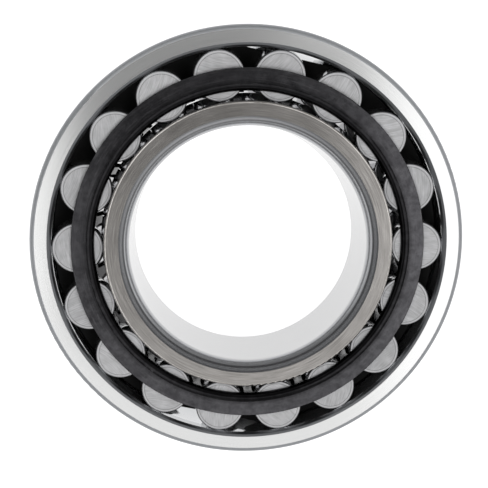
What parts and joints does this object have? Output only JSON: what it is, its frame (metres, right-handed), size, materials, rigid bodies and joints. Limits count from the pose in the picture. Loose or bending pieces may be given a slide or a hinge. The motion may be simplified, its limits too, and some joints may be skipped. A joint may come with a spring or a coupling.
{
  "type": "spherical roller bearing",
  "caption": "Self-aligning spherical roller bearing with a cylindrical bore, barrel rollers, pressed steel window cages, a loose guide ring and an oil groove round the outside.",
  "frame": {"origin": "centre of the bearing, on its axis, midway between its two faces", "axes": "+Z along the bearing's axis out of the front face; +X and +Y across the bearing"},
  "size_m": [0.18, 0.18, 0.046],
  "materials": {
    "outer_ring_steel": "ground bearing steel, fine circular grinding marks, bright",
    "inner_ring_steel": "ground bearing steel, fine circular grinding marks, warm grey",
    "roller_steel": "ground bearing steel, satin end faces, polished barrels",
    "guide_ring_steel": "machined steel with a dark oiled surface",
    "blackened_cage_steel": "pressed sheet steel, black hardened surface, oiled satin"
  },
  "bodies": {
    "outer_ring": {"outer_ring": "outer_ring_steel"},
    "inner_ring": {"inner_ring": "inner_ring_steel"},
    "guide_ring": {"guide_ring": "guide_ring_steel"},
    "front_cage": {"front_cage": "blackened_cage_steel"},
    "rear_cage": {"rear_cage": "blackened_cage_steel"},
    "roller_front_01": {"roller_front_01": "roller_steel"},
    "roller_front_02": {"roller_front_02": "roller_steel"},
    "roller_front_03": {"roller_front_03": "roller_steel"},
    "roller_front_04": {"roller_front_04": "roller_steel"},
    "roller_front_05": {"roller_front_05": "roller_steel"},
    "roller_front_06": {"roller_front_06": "roller_steel"},
    "roller_front_07": {"roller_front_07": "roller_steel"},
    "roller_front_08": {"roller_front_08": "roller_steel"},
    "roller_front_09": {"roller_front_09": "roller_steel"},
    "roller_front_10": {"roller_front_10": "roller_steel"},
    "roller_front_11": {"roller_front_11": "roller_steel"},
    "roller_front_12": {"roller_front_12": "roller_steel"},
    "roller_front_13": {"roller_front_13": "roller_steel"},
    "roller_front_14": {"roller_front_14": "roller_steel"},
    "roller_front_15": {"roller_front_15": "roller_steel"},
    "roller_front_16": {"roller_front_16": "roller_steel"},
    "roller_front_17": {"roller_front_17": "roller_steel"},
    "roller_front_18": {"roller_front_18": "roller_steel"},
    "roller_rear_01": {"roller_rear_01": "roller_steel"},
    "roller_rear_02": {"roller_rear_02": "roller_steel"},
    "roller_rear_03": {"roller_rear_03": "roller_steel"},
    "roller_rear_04": {"roller_rear_04": "roller_steel"},
    "roller_rear_05": {"roller_rear_05": "roller_steel"},
    "roller_rear_06": {"roller_rear_06": "roller_steel"},
    "roller_rear_07": {"roller_rear_07": "roller_steel"},
    "roller_rear_08": {"roller_rear_08": "roller_steel"},
    "roller_rear_09": {"roller_rear_09": "roller_steel"},
    "roller_rear_10": {"roller_rear_10": "roller_steel"},
    "roller_rear_11": {"roller_rear_11": "roller_steel"},
    "roller_rear_12": {"roller_rear_12": "roller_steel"},
    "roller_rear_13": {"roller_rear_13": "roller_steel"},
    "roller_rear_14": {"roller_rear_14": "roller_steel"},
    "roller_rear_15": {"roller_rear_15": "roller_steel"},
    "roller_rear_16": {"roller_rear_16": "roller_steel"},
    "roller_rear_17": {"roller_rear_17": "roller_steel"},
    "roller_rear_18": {"roller_rear_18": "roller_steel"}
  },
  "joints": [
    {"name": "self_align_swivel", "type": "hinge", "parent": "outer_ring", "child": "guide_ring", "pos_m": [0, 0, 0], "axis": [1, 0, 0], "range_deg": [-2, 2]},
    {"name": "inner_ring_spin", "type": "hinge", "parent": "guide_ring", "child": "inner_ring", "pos_m": [0, 0, 0], "axis": [0, 0, 1], "continuous": true},
    {"name": "front_cage_spin", "type": "hinge", "parent": "guide_ring", "child": "front_cage", "pos_m": [0, 0, 0], "axis": [0, 0, 1], "continuous": true},
    {"name": "rear_cage_spin", "type": "hinge", "parent": "guide_ring", "child": "rear_cage", "pos_m": [0, 0, 0], "axis": [0, 0, 1], "continuous": true},
    {"name": "roller_front_01_spin", "type": "hinge", "parent": "front_cage", "child": "roller_front_01", "pos_m": [0.07204, 0, 0.01198], "axis": [-0.164, 0, 0.9865], "continuous": true},
    {"name": "roller_front_02_spin", "type": "hinge", "parent": "front_cage", "child": "roller_front_02", "pos_m": [0.0677, 0.02464, 0.01198], "axis": [-0.1541, -0.0561, 0.9865], "continuous": true},
    {"name": "roller_front_03_spin", "type": "hinge", "parent": "front_cage", "child": "roller_front_03", "pos_m": [0.05519, 0.04631, 0.01198], "axis": [-0.1256, -0.1054, 0.9865], "continuous": true},
    {"name": "roller_front_04_spin", "type": "hinge", "parent": "front_cage", "child": "roller_front_04", "pos_m": [0.03602, 0.06239, 0.01198], "axis": [-0.082, -0.142, 0.9865], "continuous": true},
    {"name": "roller_front_05_spin", "type": "hinge", "parent": "front_cage", "child": "roller_front_05", "pos_m": [0.01251, 0.07095, 0.01198], "axis": [-0.0285, -0.1615, 0.9865], "continuous": true},
    {"name": "roller_front_06_spin", "type": "hinge", "parent": "front_cage", "child": "roller_front_06", "pos_m": [-0.01251, 0.07095, 0.01198], "axis": [0.0285, -0.1615, 0.9865], "continuous": true},
    {"name": "roller_front_07_spin", "type": "hinge", "parent": "front_cage", "child": "roller_front_07", "pos_m": [-0.03602, 0.06239, 0.01198], "axis": [0.082, -0.142, 0.9865], "continuous": true},
    {"name": "roller_front_08_spin", "type": "hinge", "parent": "front_cage", "child": "roller_front_08", "pos_m": [-0.05519, 0.04631, 0.01198], "axis": [0.1256, -0.1054, 0.9865], "continuous": true},
    {"name": "roller_front_09_spin", "type": "hinge", "parent": "front_cage", "child": "roller_front_09", "pos_m": [-0.0677, 0.02464, 0.01198], "axis": [0.1541, -0.0561, 0.9865], "continuous": true},
    {"name": "roller_front_10_spin", "type": "hinge", "parent": "front_cage", "child": "roller_front_10", "pos_m": [-0.07204, 0, 0.01198], "axis": [0.164, 0, 0.9865], "continuous": true},
    {"name": "roller_front_11_spin", "type": "hinge", "parent": "front_cage", "child": "roller_front_11", "pos_m": [-0.0677, -0.02464, 0.01198], "axis": [0.1541, 0.0561, 0.9865], "continuous": true},
    {"name": "roller_front_12_spin", "type": "hinge", "parent": "front_cage", "child": "roller_front_12", "pos_m": [-0.05519, -0.04631, 0.01198], "axis": [0.1256, 0.1054, 0.9865], "continuous": true},
    {"name": "roller_front_13_spin", "type": "hinge", "parent": "front_cage", "child": "roller_front_13", "pos_m": [-0.03602, -0.06239, 0.01198], "axis": [0.082, 0.142, 0.9865], "continuous": true},
    {"name": "roller_front_14_spin", "type": "hinge", "parent": "front_cage", "child": "roller_front_14", "pos_m": [-0.01251, -0.07095, 0.01198], "axis": [0.0285, 0.1615, 0.9865], "continuous": true},
    {"name": "roller_front_15_spin", "type": "hinge", "parent": "front_cage", "child": "roller_front_15", "pos_m": [0.01251, -0.07095, 0.01198], "axis": [-0.0285, 0.1615, 0.9865], "continuous": true},
    {"name": "roller_front_16_spin", "type": "hinge", "parent": "front_cage", "child": "roller_front_16", "pos_m": [0.03602, -0.06239, 0.01198], "axis": [-0.082, 0.142, 0.9865], "continuous": true},
    {"name": "roller_front_17_spin", "type": "hinge", "parent": "front_cage", "child": "roller_front_17", "pos_m": [0.05519, -0.04631, 0.01198], "axis": [-0.1256, 0.1054, 0.9865], "continuous": true},
    {"name": "roller_front_18_spin", "type": "hinge", "parent": "front_cage", "child": "roller_front_18", "pos_m": [0.0677, -0.02464, 0.01198], "axis": [-0.1541, 0.0561, 0.9865], "continuous": true},
    {"name": "roller_rear_01_spin", "type": "hinge", "parent": "rear_cage", "child": "roller_rear_01", "pos_m": [0.07191, 0.0044, -0.01198], "axis": [0.1637, 0.01, 0.9865], "continuous": true},
    {"name": "roller_rear_02_spin", "type": "hinge", "parent": "rear_cage", "child": "roller_rear_02", "pos_m": [0.06607, 0.02873, -0.01198], "axis": [0.1504, 0.0654, 0.9865], "continuous": true},
    {"name": "roller_rear_03_spin", "type": "hinge", "parent": "rear_cage", "child": "roller_rear_03", "pos_m": [0.05226, 0.04959, -0.01198], "axis": [0.119, 0.1129, 0.9865], "continuous": true},
    {"name": "roller_rear_04_spin", "type": "hinge", "parent": "rear_cage", "child": "roller_rear_04", "pos_m": [0.03214, 0.06447, -0.01198], "axis": [0.0732, 0.1468, 0.9865], "continuous": true},
    {"name": "roller_rear_05_spin", "type": "hinge", "parent": "rear_cage", "child": "roller_rear_05", "pos_m": [0.00816, 0.07158, -0.01198], "axis": [0.0186, 0.163, 0.9865], "continuous": true},
    {"name": "roller_rear_06_spin", "type": "hinge", "parent": "rear_cage", "child": "roller_rear_06", "pos_m": [-0.01682, 0.07005, -0.01198], "axis": [-0.0383, 0.1595, 0.9865], "continuous": true},
    {"name": "roller_rear_07_spin", "type": "hinge", "parent": "rear_cage", "child": "roller_rear_07", "pos_m": [-0.03976, 0.06007, -0.01198], "axis": [-0.0905, 0.1368, 0.9865], "continuous": true},
    {"name": "roller_rear_08_spin", "type": "hinge", "parent": "rear_cage", "child": "roller_rear_08", "pos_m": [-0.05791, 0.04285, -0.01198], "axis": [-0.1318, 0.0976, 0.9865], "continuous": true},
    {"name": "roller_rear_09_spin", "type": "hinge", "parent": "rear_cage", "child": "roller_rear_09", "pos_m": [-0.06907, 0.02046, -0.01198], "axis": [-0.1573, 0.0466, 0.9865], "continuous": true},
    {"name": "roller_rear_10_spin", "type": "hinge", "parent": "rear_cage", "child": "roller_rear_10", "pos_m": [-0.07191, -0.0044, -0.01198], "axis": [-0.1637, -0.01, 0.9865], "continuous": true},
    {"name": "roller_rear_11_spin", "type": "hinge", "parent": "rear_cage", "child": "roller_rear_11", "pos_m": [-0.06607, -0.02873, -0.01198], "axis": [-0.1504, -0.0654, 0.9865], "continuous": true},
    {"name": "roller_rear_12_spin", "type": "hinge", "parent": "rear_cage", "child": "roller_rear_12", "pos_m": [-0.05226, -0.04959, -0.01198], "axis": [-0.119, -0.1129, 0.9865], "continuous": true},
    {"name": "roller_rear_13_spin", "type": "hinge", "parent": "rear_cage", "child": "roller_rear_13", "pos_m": [-0.03214, -0.06447, -0.01198], "axis": [-0.0732, -0.1468, 0.9865], "continuous": true},
    {"name": "roller_rear_14_spin", "type": "hinge", "parent": "rear_cage", "child": "roller_rear_14", "pos_m": [-0.00816, -0.07158, -0.01198], "axis": [-0.0186, -0.163, 0.9865], "continuous": true},
    {"name": "roller_rear_15_spin", "type": "hinge", "parent": "rear_cage", "child": "roller_rear_15", "pos_m": [0.01682, -0.07005, -0.01198], "axis": [0.0383, -0.1595, 0.9865], "continuous": true},
    {"name": "roller_rear_16_spin", "type": "hinge", "parent": "rear_cage", "child": "roller_rear_16", "pos_m": [0.03976, -0.06007, -0.01198], "axis": [0.0905, -0.1368, 0.9865], "continuous": true},
    {"name": "roller_rear_17_spin", "type": "hinge", "parent": "rear_cage", "child": "roller_rear_17", "pos_m": [0.05791, -0.04285, -0.01198], "axis": [0.1318, -0.0976, 0.9865], "continuous": true},
    {"name": "roller_rear_18_spin", "type": "hinge", "parent": "rear_cage", "child": "roller_rear_18", "pos_m": [0.06907, -0.02046, -0.01198], "axis": [0.1573, -0.0466, 0.9865], "continuous": true}
  ],
  "couplings": [
    {"joint": "front_cage_spin", "follows": "inner_ring_spin", "ratio": 0.4264},
    {"joint": "rear_cage_spin", "follows": "inner_ring_spin", "ratio": 0.4264},
    {"joint": "roller_front_01_spin", "follows": "inner_ring_spin", "ratio": -3.2781},
    {"joint": "roller_front_02_spin", "follows": "inner_ring_spin", "ratio": -3.2781},
    {"joint": "roller_front_03_spin", "follows": "inner_ring_spin", "ratio": -3.2781},
    {"joint": "roller_front_04_spin", "follows": "inner_ring_spin", "ratio": -3.2781},
    {"joint": "roller_front_05_spin", "follows": "inner_ring_spin", "ratio": -3.2781},
    {"joint": "roller_front_06_spin", "follows": "inner_ring_spin", "ratio": -3.2781},
    {"joint": "roller_front_07_spin", "follows": "inner_ring_spin", "ratio": -3.2781},
    {"joint": "roller_front_08_spin", "follows": "inner_ring_spin", "ratio": -3.2781},
    {"joint": "roller_front_09_spin", "follows": "inner_ring_spin", "ratio": -3.2781},
    {"joint": "roller_front_10_spin", "follows": "inner_ring_spin", "ratio": -3.2781},
    {"joint": "roller_front_11_spin", "follows": "inner_ring_spin", "ratio": -3.2781},
    {"joint": "roller_front_12_spin", "follows": "inner_ring_spin", "ratio": -3.2781},
    {"joint": "roller_front_13_spin", "follows": "inner_ring_spin", "ratio": -3.2781},
    {"joint": "roller_front_14_spin", "follows": "inner_ring_spin", "ratio": -3.2781},
    {"joint": "roller_front_15_spin", "follows": "inner_ring_spin", "ratio": -3.2781},
    {"joint": "roller_front_16_spin", "follows": "inner_ring_spin", "ratio": -3.2781},
    {"joint": "roller_front_17_spin", "follows": "inner_ring_spin", "ratio": -3.2781},
    {"joint": "roller_front_18_spin", "follows": "inner_ring_spin", "ratio": -3.2781},
    {"joint": "roller_rear_01_spin", "follows": "inner_ring_spin", "ratio": -3.2781},
    {"joint": "roller_rear_02_spin", "follows": "inner_ring_spin", "ratio": -3.2781},
    {"joint": "roller_rear_03_spin", "follows": "inner_ring_spin", "ratio": -3.2781},
    {"joint": "roller_rear_04_spin", "follows": "inner_ring_spin", "ratio": -3.2781},
    {"joint": "roller_rear_05_spin", "follows": "inner_ring_spin", "ratio": -3.2781},
    {"joint": "roller_rear_06_spin", "follows": "inner_ring_spin", "ratio": -3.2781},
    {"joint": "roller_rear_07_spin", "follows": "inner_ring_spin", "ratio": -3.2781},
    {"joint": "roller_rear_08_spin", "follows": "inner_ring_spin", "ratio": -3.2781},
    {"joint": "roller_rear_09_spin", "follows": "inner_ring_spin", "ratio": -3.2781},
    {"joint": "roller_rear_10_spin", "follows": "inner_ring_spin", "ratio": -3.2781},
    {"joint": "roller_rear_11_spin", "follows": "inner_ring_spin", "ratio": -3.2781},
    {"joint": "roller_rear_12_spin", "follows": "inner_ring_spin", "ratio": -3.2781},
    {"joint": "roller_rear_13_spin", "follows": "inner_ring_spin", "ratio": -3.2781},
    {"joint": "roller_rear_14_spin", "follows": "inner_ring_spin", "ratio": -3.2781},
    {"joint": "roller_rear_15_spin", "follows": "inner_ring_spin", "ratio": -3.2781},
    {"joint": "roller_rear_16_spin", "follows": "inner_ring_spin", "ratio": -3.2781},
    {"joint": "roller_rear_17_spin", "follows": "inner_ring_spin", "ratio": -3.2781},
    {"joint": "roller_rear_18_spin", "follows": "inner_ring_spin", "ratio": -3.2781}
  ]
}
